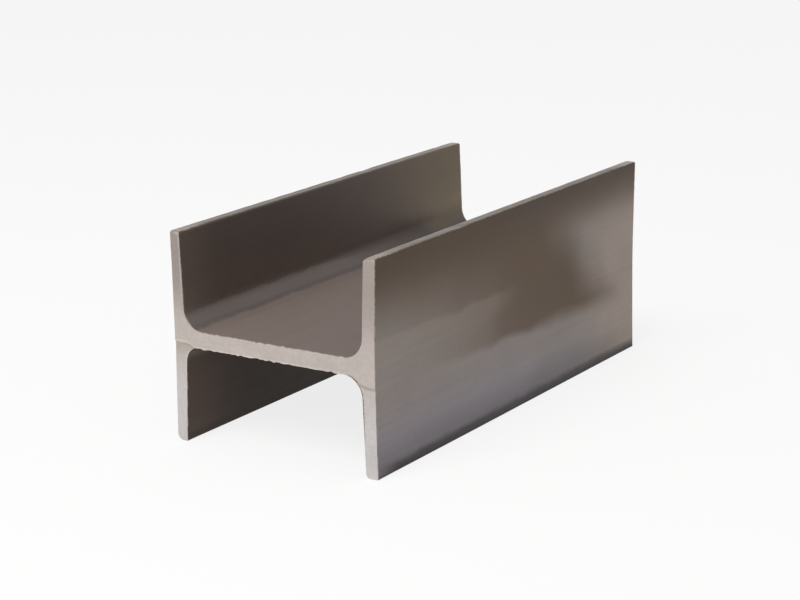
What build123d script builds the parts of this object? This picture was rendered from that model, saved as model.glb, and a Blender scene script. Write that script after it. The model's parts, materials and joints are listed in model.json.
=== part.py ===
from build123d import *
import os

# A short sawn length of hot-rolled steel H-beam, lying with its web level
#
# Sizes are in millimetres. X runs across the flanges, Y along the rolling direction and Z up.
# The origin is on the floor, under the middle of the beam.

# Driving dimensions of the rolled section
section_depth = 112.0  # over the outer faces of both flanges
flange_width = 100.0  # from toe to toe
flange_thickness = 6.5  # halfway between a toe and the web's level, where section tables measure it
flange_slope = 0.02  # of the inner faces, which thicken a flange from its toes towards the web
web_thickness = 8.0
root_radius = 10.0  # hollow curve that the rolls leave between web and flange
toe_radius = 2.0  # round on both long corners of each toe

# Driving dimension of the sawn length
beam_length = 245.0

# Places that follow from them
web_level = flange_width / 2  # height of the web's middle
outer_face = section_depth / 2  # from the beam's middle to a flange's outer face
inner_face = outer_face - flange_thickness  # to its inner face, halfway between toe and web level
slope_reach = flange_slope * web_level / 2  # how far the inner face leans to each side of that place


def sharp_flange(side):
    """A flange with a plane outer face, and inner faces that slope from both toes to the web's level."""
    at_toe = inner_face + slope_reach
    at_web = inner_face - slope_reach
    corners = [(outer_face, 0), (outer_face, flange_width), (at_toe, flange_width), (at_web, web_level), (at_toe, 0)]
    return make_face(Polyline([(side * x, height) for x, height in corners], close=True))


def sharp_section():
    """Both flanges with the web between them, rooted in their thickness, before any corner is rounded."""
    web = Rectangle(section_depth - flange_thickness, web_thickness)
    return sharp_flange(-1) + Pos(0, web_level) * web + sharp_flange(1)


def corners_by_height(outline):
    """The outline's corners in groups of one height each, from the floor up."""
    return outline.vertices().group_by(Axis.Y)


def rolled_section():
    """The section as it leaves the rolls: roots filleted first, then the toes rounded."""
    outline = sharp_section()
    lower_toes, lower_roots, upper_roots, upper_toes = corners_by_height(outline)
    outline = fillet(lower_roots + upper_roots, root_radius)
    levels = corners_by_height(outline)
    lower_toes, upper_toes = levels[0], levels[-1]
    return fillet(lower_toes + upper_toes, toe_radius)


def h_beam():
    """The section drawn out along the beam, half its length to each side of the middle, with square ends."""
    return extrude(Plane.XZ * rolled_section(), amount=beam_length / 2, both=True)


os.makedirs("parts", exist_ok=True)
export_step(h_beam(), "parts/h_beam.step")
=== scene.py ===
"""A sawn length of hot-rolled steel H-beam: dark mill scale, worn toes and pale sawn ends.

Laid out as an add-on and run as a script. One operator rolls the beam, one sets the stage.
Metres throughout. X runs across the flanges, Y along the rolling direction and Z up.
"""

import json
import math
from collections import namedtuple

import bpy
from bpy.props import FloatProperty, FloatVectorProperty, PointerProperty
from mathutils import Matrix, Vector, kdtree, noise
from mathutils.geometry import delaunay_2d_cdt


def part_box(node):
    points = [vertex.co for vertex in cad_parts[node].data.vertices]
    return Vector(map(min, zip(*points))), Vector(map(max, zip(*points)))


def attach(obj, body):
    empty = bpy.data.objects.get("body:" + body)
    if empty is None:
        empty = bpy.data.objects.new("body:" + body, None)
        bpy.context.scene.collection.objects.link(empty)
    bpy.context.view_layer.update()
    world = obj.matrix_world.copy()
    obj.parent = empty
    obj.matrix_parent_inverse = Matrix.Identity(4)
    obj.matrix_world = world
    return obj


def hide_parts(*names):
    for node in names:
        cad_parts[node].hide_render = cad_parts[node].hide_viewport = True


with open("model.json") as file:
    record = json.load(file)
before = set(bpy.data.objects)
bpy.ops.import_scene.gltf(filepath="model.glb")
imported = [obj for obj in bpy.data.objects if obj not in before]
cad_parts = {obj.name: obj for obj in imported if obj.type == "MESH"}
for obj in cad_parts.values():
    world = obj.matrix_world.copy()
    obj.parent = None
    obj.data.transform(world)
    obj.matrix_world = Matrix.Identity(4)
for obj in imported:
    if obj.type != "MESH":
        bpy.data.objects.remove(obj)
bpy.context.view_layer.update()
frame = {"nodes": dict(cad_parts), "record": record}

bl_info = {
    "name": "Steel H-beam",
    "version": (1, 0, 0),
    "blender": (4, 5, 0),
    "location": "3D View > Sidebar > Beam",
    "description": "Rolls a sawn length of H-beam with mill scale, and sets a plain studio round it",
    "category": "Object",
}

MM = 0.001
NODE = "h_beam"
BODY = "root"
FRONT, BACK = -1, 1
LEFT, RIGHT = -1, 1
LOWER, UPPER = -1, 1


# Sizes that the solid gives

FLAT_TOLERANCE = 0.01 * MM

low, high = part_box(NODE)
mount = {m["name"]: Vector(m["pos_m"]) for m in frame["record"]["mounts"]}
section_depth = high.x - low.x
flange_width = high.z - low.z
beam_length = high.y - low.y
toe_thickness = 2 * (mount["right_flange_face"].x - mount["right_toe_face"].x)
web_thickness = mount["web_upper_face"].z - mount["web_lower_face"].z
flange_slope = 0.02  # of the flanges' inner faces


def flat_reach(level):
    """How far the solid's flat at that height reaches from the middle of the beam."""
    skin = frame["nodes"][NODE].data.vertices
    return max(abs(v.co.x) for v in skin if abs(v.co.z - level) < FLAT_TOLERANCE)


face_at_web = section_depth / 2 - toe_thickness - flange_slope * (flange_width - web_thickness) / 2
half_corner = math.pi / 4 + math.atan(flange_slope) / 2  # of the corner that web and flange make
root_radius = (face_at_web - flat_reach(mount["web_upper_face"].z)) * math.tan(half_corner)
toe_radius = section_depth / 2 - flat_reach(high.z)


# Properties

def size(name, about, default):
    """A length that a user may change."""
    return FloatProperty(name=name, description=about, default=default, min=0.0, unit="LENGTH", precision=5)


def share(name, about, default):
    """A value from none to all."""
    return FloatProperty(name=name, description=about, default=default, min=0.0, max=1.0, subtype="FACTOR")


def turn(name, about, degrees):
    """An angle."""
    return FloatProperty(name=name, description=about, default=math.radians(degrees), unit="ROTATION")


def linear(code):
    """A colour written as six hexadecimal digits, in the linear values that shaders use."""
    parts = [int(code[i:i + 2], 16) / 255 for i in (0, 2, 4)]
    return tuple(p / 12.92 if p <= 0.04045 else ((p + 0.055) / 1.055) ** 2.4 for p in parts)


def tint(name, about, code):
    """A colour that a user may change."""
    return FloatVectorProperty(
        name=name, description=about, default=linear(code), size=3, min=0.0, max=1.0, subtype="COLOR"
    )


class BeamSection(bpy.types.PropertyGroup):
    """The rolled section and the length it was sawn to."""

    depth: size("Depth", "Over the outer faces of both flanges", section_depth)
    width: size("Flange width", "From toe to toe", flange_width)
    toe: size("Toe thickness", "Of both flanges at their toes", toe_thickness)
    slope: share("Flange slope", "How fast the flanges thicken towards the web", flange_slope)
    web: size("Web thickness", "Of the plate between the flanges", web_thickness)
    root: size("Root radius", "Hollow curve between web and flange", root_radius)
    tight_root: size("Tight root radius", "Hollow curve under the web at the left flange", 7 * MM)
    upper_toe: size("Upper toe radius", "Round on the upper toes' other corners", toe_radius / 2)
    round_toe: size("Round toe radius", "Round on the right flange's inner toe corners", toe_radius)
    sharp_toe: size("Sharp toe radius", "Round on the lower toes' sharper corners", toe_radius / 4)
    worn_toe: size("Worn toe radius", "Round on the left lower toe's outer corner", 1.8 * toe_radius)
    length: size("Length", "Between the sawn ends", beam_length)


class BeamRelief(bpy.types.PropertyGroup):
    """What rolling, sawing and handling leave on the plain section."""

    spring: size("Flange spring", "How far the toes stand out from the flange's middle", 0.75 * MM)
    uneven: size("Uneven legs", "How much the rolls vary the legs' thickness", 1.0 * MM)
    waviness: size("Waviness", "Depth of the long waves that the rolls leave", 0.12 * MM)
    nibble: size("Toe nibble", "Depth of the uneven upper toes", 0.18 * MM)
    nick: size("Toe nick", "Depth of the deepest nicks in the upper toes", 0.45 * MM)
    burr: size("Saw burr", "How far the saw pushed the web's edges about", 0.5 * MM)
    edge_break: size("Edge break", "Round along the rim of a sawn end", 0.15 * MM)
    worn_edge: size("Worn edge", "Further round at the top of the left flange's outer rim", 0.35 * MM)
    worn_corner: size("Worn corner", "Further round where the upper toes meet a sawn end", 0.6 * MM)
    step: size("Saw step", "How far the second cut lies behind the first, at the left flange", 0.6 * MM)
    lip: size("Saw lip", "Height of the lip where the two cuts meet", 0.3 * MM)
    seam_left: size("Seam, left", "Height of the meeting line at the left flange's face", 48.5 * MM)
    seam_right: size("Seam, right", "Height of the meeting line at the right flange's face", 41.5 * MM)
    across: size("Spacing across", "Between mesh points round the section", 0.85 * MM)
    along: size("Spacing along", "Between mesh points along the beam", 2.4 * MM)


class BeamFinish(bpy.types.PropertyGroup):
    """Colours and sheen of the scale and of the sawn steel."""

    face_scale: tint("Inner faces", "Mill scale on the flanges' inner faces", "594e48")
    far_scale: tint("Inner faces, far end", "Thinner scale towards the far end", "736654")
    # Scale under the web, darkened as painted shade under the web
    under_scale_and_shade: tint("Inner faces, below", "Scale on the inner faces under the web", "453830")
    # Painted highlight along the upper root curves
    root_highlight: tint("Root curves", "Scale in the hollow curves", "69605c")
    web_scale: tint("Web", "Scale on the web", "7d706a")
    # Dark brown scale, deepened by painted shade towards the upper toes
    top_scale_and_shade: tint("Outer faces, top", "Dark brown scale beside the upper toes", "43352a")
    brown_scale: tint("Outer faces, above", "Brown scale towards the upper toes", "5a4837")
    warm_scale: tint("Outer faces, middle", "Warm grey scale at mid-height", "89807b")
    # Violet grey scale, paled by a painted reflection of the floor
    grey_scale_and_reflection: tint("Outer faces, below", "Violet grey scale towards the floor", "868086")
    pale_scale: tint("Outer faces, far end", "Thin pale scale towards the far end", "988b82")
    # Painted shade: the dark colour of the shade near the floor, the line beside the web and the shadow
    # lines on the sawn end
    dark_shade: tint("Dark scale", "Strip along the floor, and lines at the roots", "3c3837")
    worn_steel: tint("Worn steel", "Toes rubbed bright", "6c6258")
    sawn_upper: tint("Sawn steel, upper", "Ends of the upper legs", "9d928b")
    sawn_web: tint("Sawn steel, web", "End of the web", "b9afa9")
    sawn_lower: tint("Sawn steel, lower", "Ends of the lower legs", "c2bdbb")
    # Painted shadow under the lip of the second saw cut
    sawn_shade: tint("Sawn steel, dull", "Tarnish under the saw's lip", "a59e93")
    # Painted highlight of the burr, on the lip where the two cuts meet and on the left flange's inner rim
    burr_highlight: tint("Saw lip", "Bright burr where the two cuts meet", "d6cbc6")
    scale_sheen: share("Scale sheen", "How much the scale mirrors like metal", 0.3)
    scale_gloss: share("Scale gloss", "How much the scale mirrors like glaze", 0.2)
    scale_roughness: share("Scale roughness", "Of the scale on average", 0.42)
    sawn_sheen: share("Sawn sheen", "How much a sawn end mirrors like metal", 0.35)
    sawn_roughness: share("Sawn roughness", "Of a sawn end", 0.5)


class Studio(bpy.types.PropertyGroup):
    """Camera, light and floor."""

    azimuth: turn("Azimuth", "Of the camera, from the front end towards the right", 33.13)
    elevation: turn("Elevation", "Of the camera above the floor", 14.947)
    roll: turn("Roll", "Of the camera about its own axis", -0.804)
    distance: size("Distance", "From the camera to the beam's middle", 1.0574)
    aside: size("Aim, aside", "How far to the left of the beam's middle the camera aims", 9.22 * MM)
    below: size("Aim, below", "How far under the beam's middle the camera aims", 3.53 * MM)
    lens: FloatProperty(
        name="Lens", description="Focal length in millimetres", default=96.71, subtype="DISTANCE_CAMERA"
    )
    key_power: FloatProperty(
        name="Key lamp", description="Power of the large soft lamp", default=14.0, subtype="POWER"
    )
    ambient: share("Ambient", "Light that comes evenly from all round", 0.5)
    floor: tint("Floor", "Plain pale floor", "f4f4f2")
    glow: share("Floor glow", "How far the floor fades to plain white", 0.82)


# Outline of the section

# A place on the outline, the way out of the steel there, its shares of toe wear and of the web's burr, and
# how far along the outline it is from the foot of the root curve
SkinPoint = namedtuple("SkinPoint", "place normal toe web arc")

# A quarter of the section: whether the outline runs through it from the web outwards, how much thicker it
# is as a share of the uneven legs' size, and which radii its root, inner toe and outer toe have
Leg = namedtuple("Leg", "side level outwards extra corners")
LEGS = (
    Leg(RIGHT, UPPER, True, 0.2, ("root", "round_toe", "upper_toe")),
    Leg(RIGHT, LOWER, False, 0.5, ("root", "round_toe", "sharp_toe")),
    Leg(LEFT, LOWER, True, -0.1, ("tight_root", "sharp_toe", "worn_toe")),
    Leg(LEFT, UPPER, False, -0.6, ("root", "upper_toe", "upper_toe")),
)
TOE_FADE = 1.5 * MM  # height over which a toe's wear runs out
FLANGE_BURR = 0.15  # share of the web's burr that the flanges get
SPRING_POWER = 1.3  # bend of a sprung flange, where 1 would be two straight legs
MIN_BEND_STEPS = 6


def clamp(value):
    """The value, kept between none and all."""
    return min(1.0, max(0.0, value))


def smooth(value):
    """An even rise from none to all."""
    value = clamp(value)
    return value * value * (3 - 2 * value)


def straight(start, end, normal, spacing):
    """Points from start up to, but without, end."""
    start, end = Vector(start), Vector(end)
    count = max(1, round((end - start).length / spacing))
    return [(start.lerp(end, i / count), Vector(normal)) for i in range(count)]


def bend(centre, radius, first, last, spacing, hollow=False):
    """Points along an arc from the first angle up to, but without, the last, in degrees."""
    sweep = math.radians(last - first)
    count = max(MIN_BEND_STEPS, round(abs(sweep) * radius / spacing))
    points = []
    for i in range(count):
        angle = math.radians(first) + sweep * i / count
        spoke = Vector((math.cos(angle), math.sin(angle)))
        points.append((Vector(centre) + spoke * radius, -spoke if hollow else spoke))
    return points


def inner_face(section, height):
    """How far a flange's inner face is from the beam's middle, at a height from the web's middle."""
    return section.depth / 2 - section.toe - section.slope * (section.width / 2 - height)


def quarter(section, spacing, root, inner_toe, outer_toe):
    """A quarter of the outline: along the web, up the flange, over its toe and back to mid-height.

    Heights count from the middle of the web. Each point comes with the way out of the steel, and with how
    far along the outline it is from the foot of the root curve."""
    outer = section.depth / 2
    top = section.width / 2
    web = section.web / 2
    lean = math.atan(section.slope)
    tilt = math.degrees(lean)
    off_face = Vector((-math.cos(lean), math.sin(lean)))
    root_centre = Vector((inner_face(section, web + root) - root / math.cos(lean), web + root))
    toe_centre = Vector((inner_face(section, top - inner_toe) + inner_toe / math.cos(lean), top - inner_toe))
    path = straight((0, web), (root_centre.x, web), (0, 1), spacing)
    path += bend(root_centre, root, -90, -tilt, spacing, hollow=True)
    path += straight(root_centre - off_face * root, toe_centre + off_face * inner_toe, off_face, spacing)
    path += bend(toe_centre, inner_toe, 180 - tilt, 90, spacing)
    path += straight((toe_centre.x, top), (outer - outer_toe, top), (0, 1), spacing)
    path += bend((outer - outer_toe, top - outer_toe), outer_toe, 90, 0, spacing)
    path += straight((outer, top - outer_toe), (outer, 0), (1, 0), spacing)
    path.append((Vector((outer, 0)), Vector((1, 0))))
    points = []
    run = -root_centre.x
    last = path[0][0]
    for place, normal in path:
        run += (place - last).length
        last = place
        points.append((place, normal, run))
    return points


def rolled_shift(section, relief, place, extra):
    """How far a place moves towards the beam's middle.

    The flanges stand out at their toes, and a leg may be thicker or thinner than the plain section's."""
    in_flange = smooth((place.x - inner_face(section, 0) + 2 * section.root) / (2 * section.root))
    height = abs(place.y) / (section.width / 2)
    spring = relief.spring * (1 - height**SPRING_POWER)
    to_inner_face = clamp((section.depth / 2 - place.x) / section.toe)
    return in_flange * (spring + relief.uneven * extra * to_inner_face)


def skin_outline(section, relief):
    """The whole outline, with the steel to the right of the way it runs."""
    middle = section.width / 2
    outline = []
    for leg in LEGS:
        radii = [getattr(section, name) for name in leg.corners]
        path = quarter(section, relief.across, *radii)
        # Quarters share their end points, so each leaves out the one that the next starts with
        for place, normal, arc in path[:-1] if leg.outwards else path[:0:-1]:
            toe = clamp(1 - (middle - place.y) / TOE_FADE)
            on_web = smooth((inner_face(section, 0) - place.x) / section.root)
            web = FLANGE_BURR + (1 - FLANGE_BURR) * on_web
            x = leg.side * (place.x - rolled_shift(section, relief, place, leg.extra))
            way = Vector((leg.side * normal.x, leg.level * normal.y))
            outline.append(SkinPoint(Vector((x, middle + leg.level * place.y)), way, toe, web, arc))
    return outline


# Relief of the skin and of the sawn ends

def even_cell(side):
    """A cell of noise with equal sides."""
    return Vector((side, side, side))


WAVE_CELL = Vector((30 * MM, 85 * MM, 30 * MM))
NIBBLE_CELL = Vector((3 * MM, 7 * MM, 3 * MM))
NICK_CELL = Vector((8 * MM, 11 * MM, 8 * MM))
NICK_RARITY = 0.42  # level that the noise passes where there is a nick
LOWER_TOE = 0.2  # share of the upper toes' unevenness that the lower toes have
BURR_CELL = even_cell(2.6 * MM)
FINE_BURR = 0.45  # of the coarse burr, both in height and in pitch
BURR_PATCH = 4  # length of rough and smooth stretches, in cells of the coarse burr
PATCHY_BURR = 1.5  # how much rougher or smoother those stretches are
BURR_REACH = 1.3 * MM  # over which the burr dies away from the end
SEAM_FADE = 0.7 * MM  # height over which the second saw cut drops behind the first
LEFT_SEAM_RUN = 7 * MM  # over which the seam leaves the web's lower edge at the left flange
RIGHT_SEAM_RUN = 13 * MM  # and at the right flange
STEP_RUNOUT = 7 * MM  # height over which the saw step dies away below the seam
STEP_AT_FOOT = 0.35  # share of the saw step that remains at the foot
STEP_AT_RIGHT = 0.3  # share of the saw step that the right flange has
RIPPLE = 0.05 * MM  # depth of a sawn end's unevenness
RIPPLE_CELL = even_cell(7 * MM)
END_FADE = 6 * MM  # over which the skin's rings even out from a sawn end
SEEDS = {
    "wave": 3.7,
    "nibble": 11.3,
    "nick": 23.9,
    "burr": 41.1,
    "fine_burr": 47.3,
    "burr_patch": 51.9,
    "ripple": 57.7,
}


def wander(what, place, cell):
    """Smooth noise from -1 to 1 that changes over a cell of that size."""
    seed = SEEDS[what]
    return noise.noise(Vector(p / c + seed for p, c in zip(place, cell)))


def rolled_lift(relief, point, y):
    """How far the skin stands out from the plain section, which is never more than nothing."""
    place = Vector((point.place.x, y, point.place.y))
    return -relief.waviness * (0.5 - 0.5 * wander("wave", place, WAVE_CELL))


def rounding(depth, distance):
    """How far a worn edge of that depth lies below the plain one, at a distance from it."""
    return depth * max(0.0, 1 - distance / (2 * depth)) ** 2 if depth > 0 else 0.0


def toe_shift(section, relief, point, y, distance):
    """How far an uneven toe is lower, or on the floor higher, than the plain section."""
    place = Vector((point.place.x, y, point.place.y))
    nibble = relief.nibble * (0.5 - 0.5 * wander("nibble", place, NIBBLE_CELL))
    nick = relief.nick * clamp((wander("nick", place, NICK_CELL) - NICK_RARITY) / (1 - NICK_RARITY))
    if point.place.y < section.width / 2:
        return Vector((0, LOWER_TOE * point.toe * (nibble + nick)))
    return Vector((0, -point.toe * (nibble + nick + rounding(relief.worn_corner, distance))))


def burr_lift(relief, point, end, distance):
    """How far the saw pushed the skin out or in beside an end."""
    place = Vector((point.place.x, end * beam_length, point.place.y))
    push = wander("burr", place, BURR_CELL) + FINE_BURR * wander("fine_burr", place, BURR_CELL * FINE_BURR)
    patch = 1 + PATCHY_BURR * wander("burr_patch", place, BURR_CELL * BURR_PATCH)
    return relief.burr * point.web * push * patch * math.exp(-distance / BURR_REACH)


def rim_drop(section, relief, point, distance):
    """How far the rim of a sawn end is rounded off, which is more on the left flange's upper outer face."""
    depth = relief.edge_break
    if point.place.x < (section.toe - section.depth) / 2:
        above_web = clamp(2 * point.place.y / section.width - 1)
        depth += relief.worn_edge * above_web * max(0.0, -point.normal.x)
    return rounding(depth, distance)


def seam_height(section, relief, x):
    """Height of the line where the two saw cuts of the front end meet.

    It follows the web's lower edge, and leaves it at each flange for its own height there."""
    web_edge = (section.width - section.web) / 2
    left_start = inner_face(section, 0) - section.tight_root
    right_start = inner_face(section, 0) - section.root
    left = smooth((-x - left_start) / LEFT_SEAM_RUN) * (relief.seam_left - web_edge)
    right = smooth((x - right_start) / RIGHT_SEAM_RUN) * (relief.seam_right - web_edge)
    return web_edge + left + right


def saw_level(section, relief, place, end):
    """How far a sawn end lies inside the beam's full length at a place."""
    spot = Vector((place.x, end * beam_length, place.y))
    ripple = RIPPLE * (0.5 + 0.5 * wander("ripple", spot, RIPPLE_CELL))
    if end == BACK:
        return ripple
    under = seam_height(section, relief, place.x) - place.y
    across = 1 - (1 - STEP_AT_RIGHT) * clamp(place.x / section.depth + 0.5)
    runout = STEP_AT_FOOT + (1 - STEP_AT_FOOT) * math.exp(-max(0.0, under) / STEP_RUNOUT)
    second_cut = relief.step * across * runout * smooth(under / SEAM_FADE)
    ridge = 1 - clamp(abs(under) / (2 * SEAM_FADE))
    return ripple + relief.lip * (1 - ridge * across) + second_cut


# Mesh of the beam

NEAR_END = (0.25 * MM, 0.7 * MM, 1.5 * MM, 2.6 * MM, 4.0 * MM)  # where the closer rings beside an end are
CAP_PITCH = 1.25  # spacing of the points inside a sawn end, in spacings round the section
CAP_MARGIN = 0.75  # kept clear beside the rim and the seam, in spacings inside a sawn end
SEAM_ROWS = (-1, 0)  # how high over the seam its rows of points are, in fades of the seam
INSIDE_FACES = 1  # has the triangulation keep what lies within its border
SAME_SPOT = 0.0001  # distance in millimetres within which the triangulation takes two points for one
SKIN_MATERIAL = 0
SAWN_MATERIAL = 1


def stations(length, spacing):
    """The end that each ring of mesh points is nearer to, and its distance from that end."""
    near = (0.0, *NEAR_END)
    run = length - 2 * NEAR_END[-1]
    count = round(run / spacing)
    rings = [(FRONT, distance) for distance in near]
    for i in range(1, count):
        distance = NEAR_END[-1] + run * i / count
        rings.append((FRONT, distance) if 2 * i <= count else (BACK, length - distance))
    return rings + [(BACK, distance) for distance in reversed(near)]


def skin_rings(section, relief, outline):
    """Places of the skin's points, ring after ring from the front end to the back."""
    half = section.length / 2
    places = []
    for end, distance in stations(section.length, relief.along):
        sawn = 1 - smooth(distance / END_FADE)
        for point in outline:
            inward = distance
            if sawn > 0:
                inward += sawn * saw_level(section, relief, point.place, end)
            y = end * (half - distance)
            lift = rolled_lift(relief, point, y) + burr_lift(relief, point, end, distance)
            lift -= rim_drop(section, relief, point, distance)
            # Only the web's burr may stand out, since the flanges' faces bound the solid
            lift = min(lift, relief.burr * (point.web - FLANGE_BURR))
            spot = point.place + point.normal * lift + toe_shift(section, relief, point, y, distance)
            places.append(Vector((spot.x, end * (half - inward), spot.y)))
    return places


def skin_faces(around, rings):
    """Corners of the skin's faces, from each ring to the next."""
    faces = []
    for ring in range(rings - 1):
        near, far = ring * around, (ring + 1) * around
        for i in range(around):
            after = (i + 1) % around
            faces.append((near + i, near + after, far + after, far + i))
    return faces


def grid_spots(section, pitch):
    """An even grid over the section's box, with every other row half a pitch aside."""
    row_pitch = pitch * math.sqrt(3) / 2
    spots = []
    for row in range(round(section.width / row_pitch)):
        for column in range(round(section.depth / pitch)):
            x = (column + row % 2 / 2) * pitch - section.depth / 2
            spots.append(Vector((x, (row + 0.5) * row_pitch)))
    return spots


def seam_spots(section, relief, pitch):
    """Rows of points along the line where the saw cuts meet."""
    spots = []
    for column in range(round(section.depth / pitch)):
        x = column * pitch - section.depth / 2
        for row in SEAM_ROWS:
            spots.append(Vector((x, seam_height(section, relief, x) + row * SEAM_FADE)))
    return spots


def cap_spots(section, relief, outline, rim, end):
    """Points inside a sawn end, clear of its rim."""
    pitch = CAP_PITCH * relief.across
    margin = CAP_MARGIN * pitch
    spots = grid_spots(section, pitch)
    if end == FRONT:
        spots = [s for s in spots if abs(s.y - seam_height(section, relief, s.x)) > margin + SEAM_FADE]
        spots += seam_spots(section, relief, pitch)
    tree = kdtree.KDTree(len(rim))
    for i, place in enumerate(rim):
        tree.insert((place.x, place.y, 0), i)
    tree.balance()
    inside = []
    for spot in spots:
        _, nearest, distance = tree.find((spot.x, spot.y, 0))
        within = (rim[nearest] - spot).dot(outline[nearest].normal) > 0
        if within and distance > margin:
            inside.append(spot)
    return inside


def cap_faces(rim, inside):
    """Triangles of a sawn end, as numbers into the rim's points followed by the inner ones."""
    flat = [place / MM for place in (*rim, *inside)]  # in millimetres, which suit the triangulation
    border = [(i, (i + 1) % len(rim)) for i in range(len(rim))]
    spots, _, faces, origins, _, _ = delaunay_2d_cdt(flat, border, [], INSIDE_FACES, SAME_SPOT)
    if len(spots) != len(flat):
        raise RuntimeError("the sawn end's outline crosses itself")
    return [[origins[corner][0] for corner in face] for face in faces]


def sawn_end(section, relief, outline, places, end, first):
    """Adds the places inside a sawn end whose rim starts at the first number, and gives its faces."""
    around = len(outline)
    rim = [Vector((p.x, p.z)) for p in places[first:first + around]]
    inside = cap_spots(section, relief, outline, rim, end)
    numbers = [*range(first, first + around), *range(len(places), len(places) + len(inside))]
    for spot in inside:
        y = end * (section.length / 2 - saw_level(section, relief, spot, end))
        places.append(Vector((spot.x, y, spot.y)))
    faces = []
    for face in cap_faces(rim, inside):
        corners = [numbers[corner] for corner in face]
        a, b, c = (places[corner] for corner in corners)
        if (b - a).cross(c - a).y * end < 0:
            corners.reverse()
        faces.append(corners)
    return faces


def point_marks(section, relief, outline, rings, places):
    """What the materials read at each point of the mesh."""
    around = len(outline)
    in_caps = [0.0] * (len(places) - rings * around)
    rim = [1.0] * around
    between = [0.0] * (rings - 2) * around
    return {
        "toe_wear": [point.toe for point in outline] * rings + in_caps,
        "root_arc": [point.arc for point in outline] * rings + in_caps,
        "rim": rim + between + rim + in_caps,
        "over_seam": [place.z - seam_height(section, relief, place.x) for place in places],
    }


def crease_rims(mesh, section, around, rings):
    """Keeps the sawn ends' rims crisp under smooth shading, apart from the upper toes' worn corners."""
    creased = {0, 1, rings - 2, rings - 1}  # the two rings nearest to each end
    for edge in mesh.edges:
        first, second = (v // around for v in edge.vertices)
        worn = mesh.vertices[edge.vertices[0]].co.z > section.width - TOE_FADE
        edge.use_edge_sharp = first == second and first in creased and not worn


def beam_mesh(section, relief):
    """The closed skin of the beam with both sawn ends."""
    outline = skin_outline(section, relief)
    around = len(outline)
    places = skin_rings(section, relief, outline)
    rings = len(places) // around
    skin = skin_faces(around, rings)
    sawn = sawn_end(section, relief, outline, places, FRONT, 0)
    sawn += sawn_end(section, relief, outline, places, BACK, (rings - 1) * around)
    mesh = bpy.data.meshes.new("rolled_beam")
    mesh.from_pydata(places, [], skin + sawn)
    slots = [SKIN_MATERIAL] * len(skin) + [SAWN_MATERIAL] * len(sawn)
    mesh.polygons.foreach_set("material_index", slots)
    mesh.shade_smooth()
    for name, values in point_marks(section, relief, outline, rings, places).items():
        mesh.attributes.new(name, "FLOAT", "POINT").data.foreach_set("value", values)
    crease_rims(mesh, section, around, rings)
    return mesh


# Shader nodes

NODE_SPACING = 180
MIX_AMOUNT, MIX_FIRST, MIX_SECOND = 0, 6, 7  # inlets of a mix of colours, whose names aren't unique
MIX_RESULT = 2
WHITE = (1, 1, 1, 1)


def opaque(colour):
    """A colour as shader sockets take it, unless it is another node's outlet."""
    return colour if isinstance(colour, bpy.types.NodeSocket) else (*colour[:3], 1.0)


class NodeBench:
    """Lays out the nodes of one tree, feeding each inlet with a value or another node's outlet."""

    def __init__(self, tree):
        self.tree = tree
        tree.nodes.clear()

    def add(self, kind, feeds=None, outlet=0, **settings):
        """Adds a node and returns one of its outlets, or the node itself where it has none."""
        node = self.tree.nodes.new(kind)
        node.location.x = NODE_SPACING * len(self.tree.nodes)
        for name, value in settings.items():
            setattr(node, name, value)
        for key, value in (feeds or {}).items():
            if isinstance(value, bpy.types.NodeSocket):
                self.tree.links.new(value, node.inputs[key])
            else:
                node.inputs[key].default_value = value
        return node.outputs[outlet] if node.outputs else node

    def maths(self, operation, *values):
        """The result of one operation on values."""
        return self.add("ShaderNodeMath", dict(enumerate(values)), operation=operation)

    def plus(self, total, *others):
        """The sum of values, added from the first to the last."""
        for other in others:
            total = self.maths("ADD", total, other)
        return total

    def times(self, product, *others):
        """The product of values."""
        for other in others:
            product = self.maths("MULTIPLY", product, other)
        return product

    def swing(self, mask, reach):
        """A mask as an offset, of half the reach to each side of nothing."""
        return self.maths("MULTIPLY_ADD", mask, reach, -reach / 2)

    def span(self, value, start, stop, before=0.0, after=1.0):
        """A smooth change over a stretch of a value."""
        feeds = {"Value": value, "From Min": start, "From Max": stop, "To Min": before, "To Max": after}
        return self.add("ShaderNodeMapRange", feeds, interpolation_type="SMOOTHSTEP")

    def blend(self, amount, first, second, mode="MIX"):
        """One colour over another."""
        feeds = {MIX_AMOUNT: amount, MIX_FIRST: opaque(first), MIX_SECOND: opaque(second)}
        return self.add("ShaderNodeMix", feeds, MIX_RESULT, data_type="RGBA", blend_type=mode)

    def dim(self, colour, brightness):
        """A colour made darker or lighter by a brightness of about 1."""
        grey = self.add("ShaderNodeCombineColor", {channel: brightness for channel in range(3)})
        return self.blend(1.0, colour, grey, "MULTIPLY")

    def mark(self, name):
        """A value that the mesh carries at each of its points."""
        return self.add("ShaderNodeAttribute", outlet="Fac", attribute_name=name)


# Effects that the materials share

ORIGIN = (0, 0, 0)
FLAKE_EDGE = 0.12  # of wear, to each side of where a flake ends


def new_effect(title, inlets):
    """The bench of a node group with named inlets and a mask as its outlet, and its inlets' sockets."""
    group = bpy.data.node_groups.new(title, "ShaderNodeTree")
    for label, value in inlets.items():
        kind = "NodeSocketFloat" if isinstance(value, float) else "NodeSocketVector"
        group.interface.new_socket(label, in_out="INPUT", socket_type=kind).default_value = value
    group.interface.new_socket("Mask", in_out="OUTPUT", socket_type="NodeSocketFloat")
    bench = NodeBench(group)
    return bench, bench.add("NodeGroupInput").node.outputs


def spread(bench, value, contrast):
    """A noise's value about one half, spread by a contrast and kept between none and all."""
    offset = bench.maths("MULTIPLY", bench.maths("SUBTRACT", value, 0.5), contrast)
    spread_out = bench.plus(offset, 0.5)
    spread_out.node.use_clamp = True
    return spread_out


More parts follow.
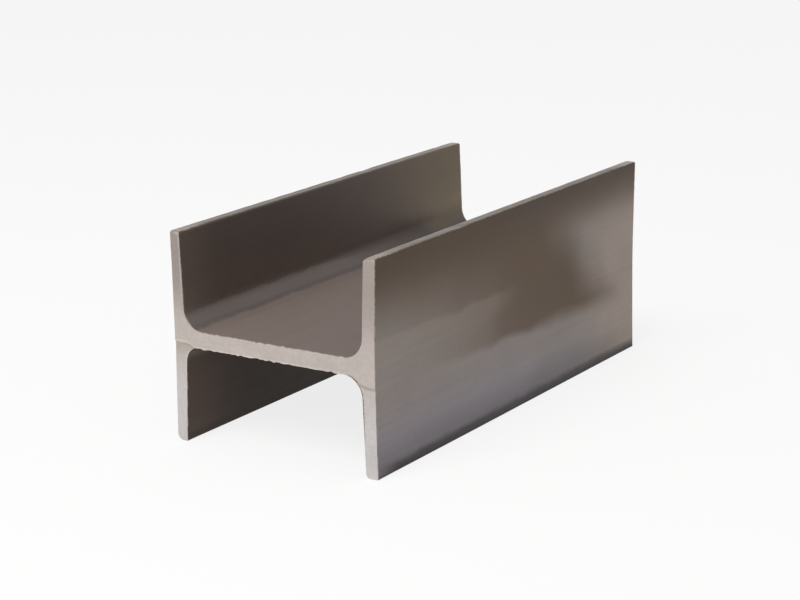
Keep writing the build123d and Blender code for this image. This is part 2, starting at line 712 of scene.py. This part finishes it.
def mottle_effect(title):
    """Soft cloudy patches of about one size."""
    bench, inlet = new_effect(title, {"Vector": ORIGIN, "Size": 30 * MM, "Contrast": 1.6, "Detail": 4.0})
    scale = bench.maths("DIVIDE", 1.0, inlet["Size"])
    feeds = {"Vector": inlet["Vector"], "Scale": scale, "Detail": inlet["Detail"], "Roughness": 0.55}
    cloud = bench.add("ShaderNodeTexNoise", feeds)
    bench.add("NodeGroupOutput", {"Mask": spread(bench, cloud, inlet["Contrast"])})
    return bench.tree


def streak_effect(title):
    """Streaks drawn out along the longest side of a cell."""
    cell = (2 * MM, 80 * MM, 2 * MM)
    bench, inlet = new_effect(title, {"Vector": ORIGIN, "Cell": cell, "Contrast": 1.6})
    cells = bench.add("ShaderNodeVectorMath", {0: inlet["Vector"], 1: inlet["Cell"]}, operation="DIVIDE")
    grain = bench.add("ShaderNodeTexNoise", {"Vector": cells, "Scale": 1.0, "Detail": 3.0, "Roughness": 0.6})
    bench.add("NodeGroupOutput", {"Mask": spread(bench, grain, inlet["Contrast"])})
    return bench.tree


def wear_effect(title):
    """Breaks up the rim of a worn place, so that it flakes instead of fading."""
    bench, inlet = new_effect(title, {"Vector": ORIGIN, "Wear": 0.0, "Flake": 2 * MM, "Reach": 0.5})
    scale = bench.maths("DIVIDE", 1.0, inlet["Flake"])
    feeds = {"Vector": inlet["Vector"], "Scale": scale, "Detail": 5.0, "Roughness": 0.65}
    flakes = bench.add("ShaderNodeTexNoise", feeds)
    ragged = bench.plus(inlet["Wear"], bench.swing(flakes, 1.0))
    start = bench.maths("SUBTRACT", inlet["Reach"], FLAKE_EDGE)
    stop = bench.maths("ADD", inlet["Reach"], FLAKE_EDGE)
    bench.add("NodeGroupOutput", {"Mask": bench.span(ragged, start, stop)})
    return bench.tree


EFFECTS = {"Mottle": mottle_effect, "Drawn streaks": streak_effect, "Flaking wear": wear_effect}


def effect_group(title):
    """The node group of an effect, made when a material first asks for it."""
    return bpy.data.node_groups.get(title) or EFFECTS[title](title)


# Materials

# A smooth change over a stretch of a value that a bench knows by name, from what it gives before the stretch
# to what it gives after. X, Y and Z are places in the frame, so Y grows from the front end to the far one.
Fade = namedtuple("Fade", "over start stop before after", defaults=(0.0, 1.0))


class MaterialBench(NodeBench):
    """The bench of one material. It knows places, textures and other values at the surface by name."""

    def __init__(self, name, textures):
        self.material = bpy.data.materials.new(name)
        self.material.use_nodes = True
        super().__init__(self.material.node_tree)
        self.place = self.add("ShaderNodeTexCoord", outlet="Object")
        axes = self.add("ShaderNodeSeparateXYZ", {0: self.place}).node.outputs
        self.at = {axis.name: axis for axis in axes}
        for label, (title, values) in textures.items():
            self.at[label] = self.effect(title, **values)

    def effect(self, title, **values):
        """Places an effect's node group with its own values."""
        feeds = {"Vector": self.place, **values}
        return self.add("ShaderNodeGroup", feeds, node_tree=effect_group(title))

    def fade(self, *fades):
        """What fades give together: their product."""
        return self.times(*(self.span(self.at[fade.over], *fade[1:]) for fade in fades))

    def swings(self, reaches):
        """Textures as offsets, each with its own reach."""
        return [self.swing(self.at[name], reach) for name, reach in reaches.items()]

    def bump(self, heights, strength, distance):
        """A normal that follows textures, each with its own height."""
        feeds = {"Height": self.plus(*self.swings(heights)), "Strength": strength, "Distance": distance}
        return self.add("ShaderNodeBump", feeds)

    def cover(self, shader):
        """Gives the shader to the material's surface, and returns the material."""
        self.add("ShaderNodeOutputMaterial", {"Surface": shader})
        return self.material


# Mill scale inside the channels

# The arc is the way along the outline from the foot of the root curve, so it is below nothing on the web
ARC_WANDER = {"ripples": 2 * MM, "streaks": 0.6 * MM}
WEB_EDGE = Fade("arc", 5 * MM, 2 * MM)
THIN_WANDER = {"clouds": 30 * MM}
THIN_FROM = Fade("Z", 60 * MM, 84 * MM, 75 * MM, -5 * MM)  # how far back the scale starts to thin
THIN_TO = Fade("Z", 60 * MM, 84 * MM, 95 * MM, 150 * MM)  # and where it is thinnest
FACE_LIGHT = (  # paler towards the roots and the front end
    Fade("Z", 62 * MM, 88 * MM, 1.25, 1.0),
    Fade("Y", low.y, -92 * MM, 1.3, 1.0),
)
BAND_FROM = Fade("Y", -20 * MM, 40 * MM, 14.0 * MM, 12.8 * MM)  # arc where the root's painted highlight band starts
BAND_FULL = Fade("Y", -20 * MM, 40 * MM, 12.8 * MM, 6.5 * MM)  # and where it is full
BAND_LIGHT = Fade("arc", 8 * MM, 13 * MM, 0.97, 1.22)  # painted highlight, paler at the top of the band
FAR_ROOT_SHADE = (  # darker roots towards the far end
    Fade("Y", 0.0, 85 * MM),
    Fade("Z", 71 * MM, 59 * MM, 0.0, 0.42),
)
WEB_LIGHT = Fade("X", -42 * MM, 26 * MM, 1.1, 0.88)  # painted light, paler towards the left, evening out the left flange's shade on the web
ROOT_LINE = 5.2 * MM  # arc of the painted shade line beside the web
LINE_SHADE = Fade("off_line", 2.2 * MM, 0.4 * MM, 0.0, 0.15)
UNDER_LIGHT = (  # painted shade under the web: paler at the front end and below the web, darker beside the floor
    Fade("Y", low.y, -70 * MM, 1.4, 0.78),
    Fade("Z", 10 * MM, 36 * MM, 0.92, 1.12),
    Fade("Z", 2 * MM, 5 * MM, 0.7, 1.0),
)
WEB_LOWER_FACE = mount["web_lower_face"].z
# where the painted shade under the web takes over
UNDER_WEB = Fade("Z", WEB_LOWER_FACE + 5 * MM, WEB_LOWER_FACE - 1 * MM)


def channel_colour(bench, finish):
    """Inside the channels: dark faces that thin out at the far end, a painted highlight on the upper root
    curves, the web with a line of painted shade beside it, and painted shade under the web.
    """
    at = bench.at
    thin_along = bench.plus(at["Y"], *bench.swings(THIN_WANDER))
    thin = bench.span(thin_along, bench.fade(THIN_FROM), bench.fade(THIN_TO))
    colour = bench.blend(thin, finish.face_scale, finish.far_scale)
    colour = bench.dim(colour, bench.fade(*FACE_LIGHT))

    band = bench.dim(finish.root_highlight, bench.fade(BAND_LIGHT))
    in_band = bench.span(at["arc"], bench.fade(BAND_FROM), bench.fade(BAND_FULL))
    colour = bench.blend(in_band, colour, band)
    colour = bench.dim(colour, bench.maths("SUBTRACT", 1.0, bench.fade(*FAR_ROOT_SHADE)))
    web = bench.dim(finish.web_scale, bench.fade(WEB_LIGHT))
    colour = bench.blend(at["on_web"], colour, web)
    at["off_line"] = bench.maths("ABSOLUTE", bench.plus(at["arc"], -ROOT_LINE))
    colour = bench.blend(bench.fade(LINE_SHADE), colour, finish.dark_shade)

    under = bench.dim(finish.under_scale_and_shade, bench.fade(*UNDER_LIGHT))
    return bench.blend(bench.fade(UNDER_WEB), colour, under)


# Mill scale on the outer faces

# Height and along are places on the face that wander with the textures
HEIGHT_WANDER = {"drifts": 5 * MM, "streaks": 0.9 * MM}
ALONG_WANDER = {"drifts": 10 * MM, "streaks": 1.5 * MM}
LEFT_SHIFT = Fade("X", -1 * MM, 1 * MM, 45 * MM, 0.0)  # sets the left flange's stain further forward
WARM_RISE = Fade("along", -10 * MM, 45 * MM, 0.0, 9 * MM)  # brings warm grey lower at the far end
WARMTH = Fade("warm_height", 8 * MM, 42 * MM)
PALE_END = Fade("along", 40 * MM, 110 * MM)

STAIN_FOOT = Fade("along", 8 * MM, 45 * MM, 34 * MM, 30 * MM)  # height where the stain's lower edge starts
STAIN_TOP = Fade("along", 8 * MM, 45 * MM, 39.5 * MM, 42.5 * MM)  # and where the stain is full
STAIN_SLOPE = 0.04  # of its lower edge
STAIN_END_SLANT = 1.08  # how far its far side leans forward over its height
STAIN_END = Fade("end_slant", 160 * MM, 103 * MM)
STAIN_RISE_SLANT = 1.28  # and its near side
STAIN_RISE = Fade("rise_slant", -57 * MM, 107 * MM)
STAIN_TIP = (  # the stain's front tip
    Fade("along", -28 * MM, -8 * MM, 0.0, 0.4),
    Fade("along", 40 * MM, 15 * MM),
    Fade("height", 58 * MM, 50 * MM),
)
BROWN_FOOT = Fade("along", -60 * MM, 5 * MM, 54 * MM, 67 * MM)  # height where the brown band starts
BROWN_TOP = high.z - 1 * MM
STEP_HEIGHT = Fade("Y", low.y, -80 * MM, 62.5 * MM, 60.5 * MM)  # of the pale step under the brown band
PALE_STEP = (
    Fade("over_step", 3 * MM, -0.5 * MM, 0.0, 0.32),
    Fade("over_step", -22 * MM, 0.0),
    Fade("along", 5 * MM, -25 * MM),
)

TOP_SHADE = Fade("Z", 74 * MM, high.z - 2 * MM, 0.0, 0.54)
FAR_TOP_SHADE = (
    Fade("Z", 92 * MM, high.z - 2 * MM),
    Fade("Y", -35 * MM, 0.0, 0.0, 0.2),
)
FOOT_SHADE = (
    Fade("Z", 22 * MM, 3 * MM, 0.0, 0.38),
    Fade("Y", 118 * MM, 88 * MM, 0.3, 1.0),
)
FOOT_WANDER = {"ripples": 1.6 * MM, "streaks": 1.2 * MM}
STRIP_NARROWING = Fade("Y", 90 * MM, 115 * MM, 0.0, 0.9 * MM)  # of the painted shadow strip along the floor
# painted shadow strip along the floor
FLOOR_STRIP = (
    Fade("foot", 6.8 * MM, 2.5 * MM, 0.0, 0.95),
    Fade("Y", low.y + 1.5 * MM, -104 * MM, 0.25, 1.0),
)
OUTER_STREAKS = {"streaks": 0.07, "drifts": 0.1}
# painted contact shadow right beside the floor
FLOOR_LIGHT = Fade("Z", 0.8 * MM, 2.6 * MM, 0.6, 1.0)


def outer_greys(bench, finish):
    """Greys of the outer faces: violet below, partly a painted reflection of the floor, warm at mid-height
    and pale at the far end.
    """
    at = bench.at
    at["warm_height"] = bench.plus(at["height"], bench.fade(WARM_RISE))
    colour = bench.blend(bench.fade(WARMTH), finish.grey_scale_and_reflection, finish.warm_scale)
    return bench.blend(bench.fade(PALE_END), colour, finish.pale_scale)


def outer_browns(bench, finish, colour):
    """Lays a brown band along the top, with a stain under it and a pale step in front of the stain."""
    at = bench.at
    edge_height = bench.plus(at["height"], bench.times(at["along"], STAIN_SLOPE))
    edge = bench.span(edge_height, bench.fade(STAIN_FOOT), bench.fade(STAIN_TOP))
    at["end_slant"] = bench.plus(at["along"], bench.times(at["height"], STAIN_END_SLANT))
    at["rise_slant"] = bench.plus(at["along"], bench.times(at["height"], STAIN_RISE_SLANT))
    stain = bench.times(edge, bench.fade(STAIN_END), bench.fade(STAIN_RISE))
    colour = bench.blend(stain, colour, finish.brown_scale)
    band = bench.span(at["height"], bench.fade(BROWN_FOOT), BROWN_TOP)
    colour = bench.blend(band, colour, finish.brown_scale)

    at["over_step"] = bench.maths("SUBTRACT", at["height"], bench.fade(STEP_HEIGHT))
    colour = bench.blend(bench.fade(*PALE_STEP), colour, finish.pale_scale)
    tip = bench.times(bench.fade(*STAIN_TIP), edge)
    return bench.blend(tip, colour, finish.brown_scale)


def outer_edges(bench, finish, colour):
    """Darkens the outer faces with painted shade towards the toes, with a painted shadow strip along the
    floor.
    """
    at = bench.at
    top = bench.plus(bench.fade(TOP_SHADE), bench.fade(*FAR_TOP_SHADE))
    colour = bench.blend(top, colour, finish.top_scale_and_shade)
    colour = bench.blend(bench.fade(*FOOT_SHADE), colour, finish.dark_shade)
    at["foot"] = bench.plus(at["Z"], *bench.swings(FOOT_WANDER), bench.fade(STRIP_NARROWING))
    return bench.blend(bench.fade(*FLOOR_STRIP), colour, finish.dark_shade)


def outer_colour(bench, finish):
    """Outside: greys under a brown band that runs down into a stain, and painted shade at the edges."""
    at = bench.at
    at["height"] = bench.plus(at["Z"], *bench.swings(HEIGHT_WANDER))
    at["along"] = bench.plus(at["Y"], *bench.swings(ALONG_WANDER), bench.fade(LEFT_SHIFT))
    colour = outer_greys(bench, finish)
    colour = outer_browns(bench, finish, colour)
    colour = outer_edges(bench, finish, colour)
    streaky = bench.plus(*bench.swings(OUTER_STREAKS), 1.0)
    return bench.dim(colour, bench.times(streaky, bench.fade(FLOOR_LIGHT)))


# Mill scale as a whole

# Each texture is an effect and its values. Shades, rubbing, grain and heights say how far textures swing
# the brightness, the worn toes' brightness, the roughness and the bump
SCALE_TEXTURES = {
    "streaks": ("Drawn streaks", {"Cell": (2.4 * MM, 95 * MM, 2.4 * MM), "Contrast": 1.8}),
    "scratches": ("Drawn streaks", {"Cell": (0.5 * MM, 26 * MM, 0.5 * MM), "Contrast": 1.6}),
    "clouds": ("Mottle", {"Size": 38 * MM, "Contrast": 1.8}),
    "specks": ("Mottle", {"Size": 2.2 * MM, "Contrast": 1.7}),
    "ripples": ("Mottle", {"Size": 12 * MM, "Contrast": 1.8}),
    "drifts": ("Mottle", {"Size": 30 * MM, "Contrast": 1.6, "Detail": 1.0}),
}
OUTSIDE = Fade("from_web", high.x - 5 * MM, high.x - 2 * MM)
SCALE_SHADES = {"streaks": 0.1, "specks": 0.12, "clouds": 0.08}
TOE_RUBBING = {"specks": 0.6, "ripples": 0.4}
TOE_FLAKES = {"Flake": 2 * MM, "Reach": 0.82}
PALE_TOE = Fade("from_middle", beam_length / 2 - 28 * MM, beam_length / 2, 0.0, 0.8)
RIM_FLAKES = {"Flake": 3 * MM, "Reach": 0.85}
CHIPPED_RIM = Fade("from_middle", beam_length / 2 - 3 * MM, beam_length / 2)
SCALE_GRAIN = {"streaks": 0.12, "specks": 0.1}
WEB_GRAIN = 0.2  # further roughness of the web
SCALE_HEIGHTS = {"scratches": 0.6, "specks": 0.5}
SCALE_BUMP = {"strength": 0.25, "distance": 0.12 * MM}


def mill_scale(finish):
    """Dark scale, streaked along the beam, rubbed off at the toes and chipped beside the sawn ends."""
    bench = MaterialBench("mill_scale", SCALE_TEXTURES)
    at = bench.at
    at["arc"] = bench.plus(bench.mark("root_arc"), *bench.swings(ARC_WANDER))
    at["on_web"] = bench.fade(WEB_EDGE)
    at["from_web"] = bench.maths("ABSOLUTE", at["X"])
    at["from_middle"] = bench.maths("ABSOLUTE", at["Y"])
    colour = bench.blend(bench.fade(OUTSIDE), channel_colour(bench, finish), outer_colour(bench, finish))
    colour = bench.dim(colour, bench.plus(*bench.swings(SCALE_SHADES), 1.0))

    toe = bench.effect("Flaking wear", Wear=bench.mark("toe_wear"), **TOE_FLAKES)
    worn = bench.blend(bench.fade(PALE_TOE), finish.worn_steel, finish.sawn_upper)
    rubbing = bench.plus(*bench.swings(TOE_RUBBING), 1.0)
    colour = bench.blend(toe, colour, bench.dim(worn, rubbing))
    chips = bench.effect("Flaking wear", Wear=bench.fade(CHIPPED_RIM), **RIM_FLAKES)
    colour = bench.blend(chips, colour, finish.sawn_upper)

    web_grain = bench.times(at["on_web"], WEB_GRAIN)
    feeds = {
        "Base Color": colour,
        "Roughness": bench.plus(*bench.swings(SCALE_GRAIN), finish.scale_roughness, web_grain),
        "Metallic": finish.scale_sheen,
        "Specular IOR Level": finish.scale_gloss,
        "Normal": bench.bump(SCALE_HEIGHTS, **SCALE_BUMP),
    }
    return bench.cover(bench.add("ShaderNodeBsdfPrincipled", feeds))


# Sawn steel

SAWN_TEXTURES = {
    "lines": ("Drawn streaks", {"Cell": (70 * MM, 2 * MM, 0.55 * MM), "Contrast": 1.4}),
    "clouds": ("Mottle", {"Size": 12 * MM, "Contrast": 1.4}),
    "specks": ("Mottle", {"Size": 1.6 * MM, "Contrast": 1.5}),
}
LEVEL_WANDER = {"clouds": 10 * MM}
SEAM_WANDER = {"clouds": 1.0 * MM}
WEB_END = Fade("level", 24 * MM, 46 * MM)
UPPER_END = Fade("level", 54 * MM, 80 * MM)
UPPER_LIGHT = Fade("X", -40 * MM, 40 * MM, 0.92, 1.06)
FRONT_HALF = Fade("Y", 0.1 * MM, -0.1 * MM)  # keeps marks off the back end
# painted shadow on the recessed cut under the lip at the left flange
SHADE_UNDER_LIP = (
    Fade("over_seam", -9 * MM, -2 * MM),
    Fade("over_seam", 0.3 * MM, -0.5 * MM),
    Fade("X", -40 * MM, -49 * MM, 0.0, 0.8),
    FRONT_HALF,
)
# painted highlight along the lip
BRIGHT_LIP = (
    Fade("off_seam", 1.1 * MM, 0.3 * MM),
    Fade("X", 44 * MM, 36 * MM, 0.0, 0.85),
    Fade("clouds", 0.35, 0.65, 0.3, 1.0),
    FRONT_HALF,
)
BRIGHT_RIM = (  # painted highlight on the left flange's inner edge
    Fade("rim", 0.3, 0.9, 0.0, 0.45),
    Fade("X", -54 * MM, -52 * MM),
    Fade("X", -43 * MM, -46 * MM),
)
BRIGHT_ABOVE = Fade("Z", 66 * MM, 76 * MM)
BRIGHT_BELOW = (
    Fade("Z", 28 * MM, 36 * MM),
    Fade("Z", 46 * MM, 43 * MM),
)
# painted shadow line under the ledge at the right flange's seam
RIGHT_SEAM = (
    Fade("off_seam", 0.9 * MM, 0.2 * MM, 0.0, 0.3),
    Fade("X", 45 * MM, 48 * MM),
    FRONT_HALF,
)
SHADOW_RIM = (  # the edge under the right root
    Fade("rim", 0.4, 0.8),
    Fade("X", 36 * MM, 40 * MM),
    Fade("X", 52 * MM, 50 * MM),
    Fade("Z", 47 * MM, 45 * MM),
    Fade("Z", 12 * MM, 26 * MM, 0.0, 0.75),
    FRONT_HALF,
)
SAWN_SHADES = {"lines": 0.14, "specks": 0.18, "clouds": 0.18}
SAWN_GRAIN = {"lines": 0.15}
SAWN_HEIGHTS = {"lines": 1.0, "specks": 0.6}
SAWN_BUMP = {"strength": 0.3, "distance": 0.1 * MM}


def sawn_colour(bench, finish):
    """Pale steel that is brighter below, and duller towards the ends of the upper legs."""
    at = bench.at
    at["level"] = bench.plus(at["Z"], *bench.swings(LEVEL_WANDER))
    colour = bench.blend(bench.fade(WEB_END), finish.sawn_lower, finish.sawn_web)
    upper = bench.dim(finish.sawn_upper, bench.fade(UPPER_LIGHT))
    return bench.blend(bench.fade(UPPER_END), colour, upper)


def saw_marks(bench, finish, colour):
    """Marks the front end along the seam of the saw cuts and along parts of its rim with painted shadow and
    painted highlights.
    """
    at = bench.at
    at["over_seam"] = bench.plus(bench.mark("over_seam"), *bench.swings(SEAM_WANDER))
    at["off_seam"] = bench.maths("ABSOLUTE", at["over_seam"])
    at["rim"] = bench.mark("rim")
    colour = bench.blend(bench.fade(*SHADE_UNDER_LIP), colour, finish.sawn_shade)
    colour = bench.blend(bench.fade(*BRIGHT_LIP), colour, finish.burr_highlight)
    stretches = bench.maths("MAXIMUM", bench.fade(BRIGHT_ABOVE), bench.fade(*BRIGHT_BELOW))
    bright_rim = bench.times(bench.fade(*BRIGHT_RIM), stretches, bench.fade(FRONT_HALF))
    colour = bench.blend(bright_rim, colour, finish.burr_highlight)
    colour = bench.blend(bench.fade(*RIGHT_SEAM), colour, finish.dark_shade)
    return bench.blend(bench.fade(*SHADOW_RIM), colour, finish.dark_shade)


def sawn_steel(finish):
    """Pale steel of the ends, with fine saw lines, and a painted highlight on the lip where two cuts meet.
    """
    bench = MaterialBench("sawn_steel", SAWN_TEXTURES)
    colour = saw_marks(bench, finish, sawn_colour(bench, finish))
    feeds = {
        "Base Color": bench.dim(colour, bench.plus(*bench.swings(SAWN_SHADES), 1.0)),
        "Roughness": bench.plus(*bench.swings(SAWN_GRAIN), finish.sawn_roughness),
        "Metallic": finish.sawn_sheen,
        "Normal": bench.bump(SAWN_HEIGHTS, **SAWN_BUMP),
    }
    return bench.cover(bench.add("ShaderNodeBsdfPrincipled", feeds))


# Stage

FLOOR_REACH = 6.0
FLOOR_GAP = 0.1 * MM  # keeps the floor clear of the toes that stand on it
FLOOR_TEXTURES = {"clouds": ("Mottle", {"Size": 0.4, "Contrast": 0.4})}
FLOOR_SHADES = Fade("clouds", 0.0, 1.0, 0.98, 1.0)
KEY_PLACE = (-0.05, -1.0, 1.15)  # of the lamp, which faces the origin
KEY_SIDE = 0.9


def seen_directly(bench):
    """Whether a ray comes from the camera, or by way of a mirror or glass."""
    path = bench.add("ShaderNodeLightPath").node.outputs
    mirrored = bench.maths("MAXIMUM", path["Is Glossy Ray"], path["Is Transmission Ray"])
    return bench.maths("MAXIMUM", path["Is Camera Ray"], mirrored)


def pale_floor(studio):
    """A matte floor that fades to white but keeps the beam's shadow."""
    bench = MaterialBench("pale_floor", FLOOR_TEXTURES)
    colour = bench.dim(studio.floor, bench.fade(FLOOR_SHADES))
    matte = bench.add("ShaderNodeBsdfDiffuse", {"Color": colour})
    white = bench.add("ShaderNodeEmission", {"Color": WHITE, "Strength": 1.0})
    amount = bench.maths("MULTIPLY", seen_directly(bench), studio.glow)
    return bench.cover(bench.add("ShaderNodeMixShader", {0: amount, 1: matte, 2: white}))


def lay_floor(studio):
    """A wide square under the beam."""
    sides = ((-1, -1), (1, -1), (1, 1), (-1, 1))
    corners = [(x * FLOOR_REACH, y * FLOOR_REACH, low.z - FLOOR_GAP) for x, y in sides]
    mesh = bpy.data.meshes.new("floor")
    mesh.from_pydata(corners, [], [(0, 1, 2, 3)])
    mesh.materials.append(pale_floor(studio))
    floor = bpy.data.objects.new("floor", mesh)
    bpy.context.scene.collection.objects.link(floor)


def light_room(studio):
    """Even light from all round, white where it is seen directly, and one large soft lamp."""
    world = bpy.data.worlds.new("studio")
    world.use_nodes = True
    bench = NodeBench(world.node_tree)
    even = bench.add("ShaderNodeBackground", {"Color": WHITE, "Strength": studio.ambient})
    white = bench.add("ShaderNodeBackground", {"Color": WHITE, "Strength": 1.0})
    surface = bench.add("ShaderNodeMixShader", {0: seen_directly(bench), 1: even, 2: white})
    bench.add("ShaderNodeOutputWorld", {"Surface": surface})
    bpy.context.scene.world = world
    lamp = bpy.data.lights.new("key_lamp", "AREA")
    lamp.energy = studio.key_power
    lamp.size = KEY_SIDE
    key = bpy.data.objects.new("key_lamp", lamp)
    key.location = KEY_PLACE
    key.rotation_euler = Vector(KEY_PLACE).to_track_quat("Z", "Y").to_euler()
    bpy.context.scene.collection.objects.link(key)


def place_camera(studio):
    """The camera looks down on the front end from the right."""
    a, e, r = studio.azimuth, studio.elevation, studio.roll
    back = Vector((math.sin(a) * math.cos(e), -math.cos(a) * math.cos(e), math.sin(e)))
    right = Matrix.Rotation(r, 3, back) @ Vector((math.cos(a), math.sin(a), 0))
    up = back.cross(right)
    aim = (low + high) / 2 - right * studio.aside - up * studio.below
    lens = bpy.data.cameras.new("camera")
    lens.lens = studio.lens
    camera = bpy.data.objects.new("camera", lens)
    turned = Matrix((right, up, back)).transposed().to_4x4()
    camera.matrix_world = Matrix.Translation(aim + back * studio.distance) @ turned
    bpy.context.scene.collection.objects.link(camera)
    bpy.context.scene.camera = camera


# Operators and panel

class HBEAM_OT_roll_beam(bpy.types.Operator):
    """Roll the section, saw it to length and give it its finish"""

    bl_idname = "h_beam.roll_beam"
    bl_label = "Roll beam"

    def execute(self, context):
        scene = context.scene
        mesh = beam_mesh(scene.beam_section, scene.beam_relief)
        mesh.materials.append(mill_scale(scene.beam_finish))
        mesh.materials.append(sawn_steel(scene.beam_finish))
        beam = bpy.data.objects.new("rolled_beam", mesh)
        scene.collection.objects.link(beam)
        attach(beam, BODY)
        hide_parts(NODE)
        return {"FINISHED"}


class HBEAM_OT_set_stage(bpy.types.Operator):
    """Lay the floor, light the room and place the camera"""

    bl_idname = "h_beam.set_stage"
    bl_label = "Set stage"

    def execute(self, context):
        studio = context.scene.beam_studio
        lay_floor(studio)
        light_room(studio)
        place_camera(studio)
        context.scene.view_settings.view_transform = "Standard"
        return {"FINISHED"}


class HBEAM_PT_sidebar(bpy.types.Panel):
    """Sizes, finish and stage of the beam"""

    bl_label = "Steel H-beam"
    bl_space_type = "VIEW_3D"
    bl_region_type = "UI"
    bl_category = "Beam"

    def draw(self, context):
        for group, holder in GROUPS.items():
            box = self.layout.box()
            for name in group.__annotations__:
                box.prop(getattr(context.scene, holder), name)
        for operator in OPERATORS:
            self.layout.operator(operator.bl_idname)


GROUPS = {
    BeamSection: "beam_section",
    BeamRelief: "beam_relief",
    BeamFinish: "beam_finish",
    Studio: "beam_studio",
}
OPERATORS = (HBEAM_OT_roll_beam, HBEAM_OT_set_stage)
CLASSES = (*GROUPS, *OPERATORS, HBEAM_PT_sidebar)


def register():
    for kind in CLASSES:
        bpy.utils.register_class(kind)
    for group, holder in GROUPS.items():
        setattr(bpy.types.Scene, holder, PointerProperty(type=group))


def unregister():
    for holder in GROUPS.values():
        delattr(bpy.types.Scene, holder)
    for kind in reversed(CLASSES):
        bpy.utils.unregister_class(kind)


def main():
    """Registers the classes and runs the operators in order."""
    register()
    bpy.ops.h_beam.roll_beam()
    bpy.ops.h_beam.set_stage()


if __name__ == "__main__":
    main()
